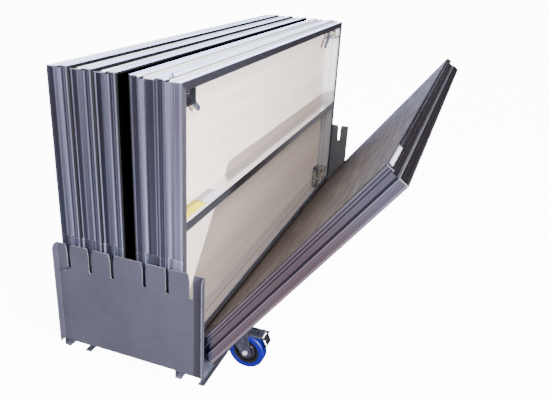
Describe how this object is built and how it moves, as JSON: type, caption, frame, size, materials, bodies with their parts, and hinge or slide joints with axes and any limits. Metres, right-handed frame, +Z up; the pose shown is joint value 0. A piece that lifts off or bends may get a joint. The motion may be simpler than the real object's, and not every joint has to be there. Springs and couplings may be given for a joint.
{
  "type": "stage deck dolly",
  "caption": "Wheeled dolly with slotted end plates that carries framed stage decks on edge; decks lift out, the outer deck tips, and the casters swivel, roll and brake.",
  "frame": {"origin": "on the floor, midway between the end plates and midway between the base rails", "axes": "+Y along the dolly from the front end plate to the rear one, +X across to the tilted deck's side, +Z up"},
  "size_m": [1.2213, 2.0826, 1.294],
  "materials": {
    "powder_coat": "satin",
    "rail_steel": "satin",
    "bar_aluminium": "mill",
    "board_plywood": "film-faced plywood",
    "zinc_steel": "zinc plated",
    "core_plastic": "matt",
    "tyre_rubber": "elastic, matt",
    "pedal_plastic": "matt",
    "deck_aluminium": "bright",
    "deck_plywood": "film-faced birch ply"
  },
  "bodies": {
    "dolly_base": {"end_plate_front": "powder_coat", "end_plate_rear": "powder_coat", "base_rail_left": "rail_steel", "base_rail_right": "rail_steel", "cross_bars": "bar_aluminium", "bar_caps": "core_plastic", "support_boards": "board_plywood", "plate_bolts": "zinc_steel", "caster_plates": "zinc_steel", "caster_bolts": "zinc_steel"},
    "deck_1": {"deck_1_frame": "deck_aluminium", "deck_1_panel": "deck_plywood", "deck_1_mid_beam": "deck_aluminium", "deck_1_leg_clamps": "zinc_steel", "deck_1_lock_pins": "zinc_steel"},
    "deck_2": {"deck_2_frame": "deck_aluminium", "deck_2_panel": "deck_plywood", "deck_2_mid_beam": "deck_aluminium", "deck_2_leg_clamps": "zinc_steel"},
    "deck_3": {"deck_3_frame": "deck_aluminium", "deck_3_panel": "deck_plywood", "deck_3_mid_beam": "deck_aluminium", "deck_3_leg_clamps": "zinc_steel"},
    "deck_4": {"deck_4_frame": "deck_aluminium", "deck_4_panel": "deck_plywood", "deck_4_mid_beam": "deck_aluminium", "deck_4_leg_clamps": "zinc_steel"},
    "deck_5": {"deck_5_frame": "deck_aluminium", "deck_5_panel": "deck_plywood", "deck_5_mid_beam": "deck_aluminium", "deck_5_leg_brackets": "zinc_steel", "deck_5_groove_clips": "zinc_steel"},
    "deck_6": {"deck_6_frame": "deck_aluminium", "deck_6_panel": "deck_plywood", "deck_6_mid_beam": "deck_aluminium", "deck_6_leg_clamps": "zinc_steel"},
    "wing_screw_front_low": {"deck_5_wing_screw_front_low": "zinc_steel"},
    "wing_screw_front_high": {"deck_5_wing_screw_front_high": "zinc_steel"},
    "wing_screw_rear_low": {"deck_5_wing_screw_rear_low": "zinc_steel"},
    "wing_screw_rear_high": {"deck_5_wing_screw_rear_high": "zinc_steel"},
    "caster_front_left_swivel": {"caster_front_left_fork": "zinc_steel", "caster_front_left_axle": "zinc_steel"},
    "caster_front_left_wheel": {"caster_front_left_wheel_core": "core_plastic", "caster_front_left_tyre": "tyre_rubber"},
    "caster_front_left_pedal": {"caster_front_left_brake_pedal": "pedal_plastic"},
    "caster_front_right_swivel": {"caster_front_right_fork": "zinc_steel", "caster_front_right_axle": "zinc_steel"},
    "caster_front_right_wheel": {"caster_front_right_wheel_core": "core_plastic", "caster_front_right_tyre": "tyre_rubber"},
    "caster_front_right_pedal": {"caster_front_right_brake_pedal": "pedal_plastic"},
    "caster_rear_left_swivel": {"caster_rear_left_fork": "zinc_steel", "caster_rear_left_axle": "zinc_steel"},
    "caster_rear_left_wheel": {"caster_rear_left_wheel_core": "core_plastic", "caster_rear_left_tyre": "tyre_rubber"},
    "caster_rear_left_pedal": {"caster_rear_left_brake_pedal": "pedal_plastic"},
    "caster_rear_right_swivel": {"caster_rear_right_fork": "zinc_steel", "caster_rear_right_axle": "zinc_steel"},
    "caster_rear_right_wheel": {"caster_rear_right_wheel_core": "core_plastic", "caster_rear_right_tyre": "tyre_rubber"},
    "caster_rear_right_pedal": {"caster_rear_right_brake_pedal": "pedal_plastic"}
  },
  "joints": [
    {"name": "deck_1_lift", "type": "slide", "parent": "dolly_base", "child": "deck_1", "axis": [0, 0, 1], "range_m": [0, 1.03]},
    {"name": "deck_2_lift", "type": "slide", "parent": "dolly_base", "child": "deck_2", "axis": [0, 0, 1], "range_m": [0, 1.03]},
    {"name": "deck_3_lift", "type": "slide", "parent": "dolly_base", "child": "deck_3", "axis": [0, 0, 1], "range_m": [0, 1.03]},
    {"name": "deck_4_lift", "type": "slide", "parent": "dolly_base", "child": "deck_4", "axis": [0, 0, 1], "range_m": [0, 1.03]},
    {"name": "deck_5_lift", "type": "slide", "parent": "dolly_base", "child": "deck_5", "axis": [0, 0, 1], "range_m": [0, 1.03]},
    {"name": "deck_6_tip", "type": "hinge", "parent": "dolly_base", "child": "deck_6", "pos_m": [0.29249, 0, 0.2555], "axis": [0, -1, 0], "range_deg": [0, 36.6]},
    {"name": "wing_screw_front_low_turn", "type": "hinge", "parent": "deck_5", "child": "wing_screw_front_low", "pos_m": [0.16275, -0.885, 0.348], "axis": [0, 0.788, 0.6157], "continuous": true},
    {"name": "wing_screw_front_high_turn", "type": "hinge", "parent": "deck_5", "child": "wing_screw_front_high", "pos_m": [0.16275, -0.885, 1.214], "axis": [0, 0.788, -0.6157], "continuous": true},
    {"name": "wing_screw_rear_low_turn", "type": "hinge", "parent": "deck_5", "child": "wing_screw_rear_low", "pos_m": [0.16275, 0.885, 0.348], "axis": [0, -0.788, 0.6157], "continuous": true},
    {"name": "wing_screw_rear_high_turn", "type": "hinge", "parent": "deck_5", "child": "wing_screw_rear_high", "pos_m": [0.16275, 0.885, 1.214], "axis": [0, -0.788, -0.6157], "continuous": true},
    {"name": "caster_front_left_swivel_turn", "type": "hinge", "parent": "dolly_base", "child": "caster_front_left_swivel", "pos_m": [-0.239, -0.609, 0.17], "axis": [0, 0, 1], "continuous": true},
    {"name": "caster_front_left_wheel_roll", "type": "hinge", "parent": "caster_front_left_swivel", "child": "caster_front_left_wheel", "pos_m": [-0.173, -0.609, 0.08], "axis": [0, 1, 0], "continuous": true},
    {"name": "caster_front_left_pedal_press", "type": "hinge", "parent": "caster_front_left_swivel", "child": "caster_front_left_pedal", "pos_m": [-0.0945, -0.609, 0.17], "axis": [0, -1, 0], "range_deg": [0, 20]},
    {"name": "caster_front_right_swivel_turn", "type": "hinge", "parent": "dolly_base", "child": "caster_front_right_swivel", "pos_m": [0.239, -0.609, 0.17], "axis": [0, 0, 1], "continuous": true},
    {"name": "caster_front_right_wheel_roll", "type": "hinge", "parent": "caster_front_right_swivel", "child": "caster_front_right_wheel", "pos_m": [0.305, -0.609, 0.08], "axis": [0, 1, 0], "continuous": true},
    {"name": "caster_front_right_pedal_press", "type": "hinge", "parent": "caster_front_right_swivel", "child": "caster_front_right_pedal", "pos_m": [0.3835, -0.609, 0.17], "axis": [0, -1, 0], "range_deg": [0, 20]},
    {"name": "caster_rear_left_swivel_turn", "type": "hinge", "parent": "dolly_base", "child": "caster_rear_left_swivel", "pos_m": [-0.239, 0.609, 0.17], "axis": [0, 0, 1], "continuous": true},
    {"name": "caster_rear_left_wheel_roll", "type": "hinge", "parent": "caster_rear_left_swivel", "child": "caster_rear_left_wheel", "pos_m": [-0.173, 0.609, 0.08], "axis": [0, 1, 0], "continuous": true},
    {"name": "caster_rear_left_pedal_press", "type": "hinge", "parent": "caster_rear_left_swivel", "child": "caster_rear_left_pedal", "pos_m": [-0.0945, 0.609, 0.17], "axis": [0, -1, 0], "range_deg": [0, 20]},
    {"name": "caster_rear_right_swivel_turn", "type": "hinge", "parent": "dolly_base", "child": "caster_rear_right_swivel", "pos_m": [0.239, 0.609, 0.17], "axis": [0, 0, 1], "continuous": true},
    {"name": "caster_rear_right_wheel_roll", "type": "hinge", "parent": "caster_rear_right_swivel", "child": "caster_rear_right_wheel", "pos_m": [0.305, 0.609, 0.08], "axis": [0, 1, 0], "continuous": true},
    {"name": "caster_rear_right_pedal_press", "type": "hinge", "parent": "caster_rear_right_swivel", "child": "caster_rear_right_pedal", "pos_m": [0.3835, 0.609, 0.17], "axis": [0, -1, 0], "range_deg": [0, 20]}
  ]
}
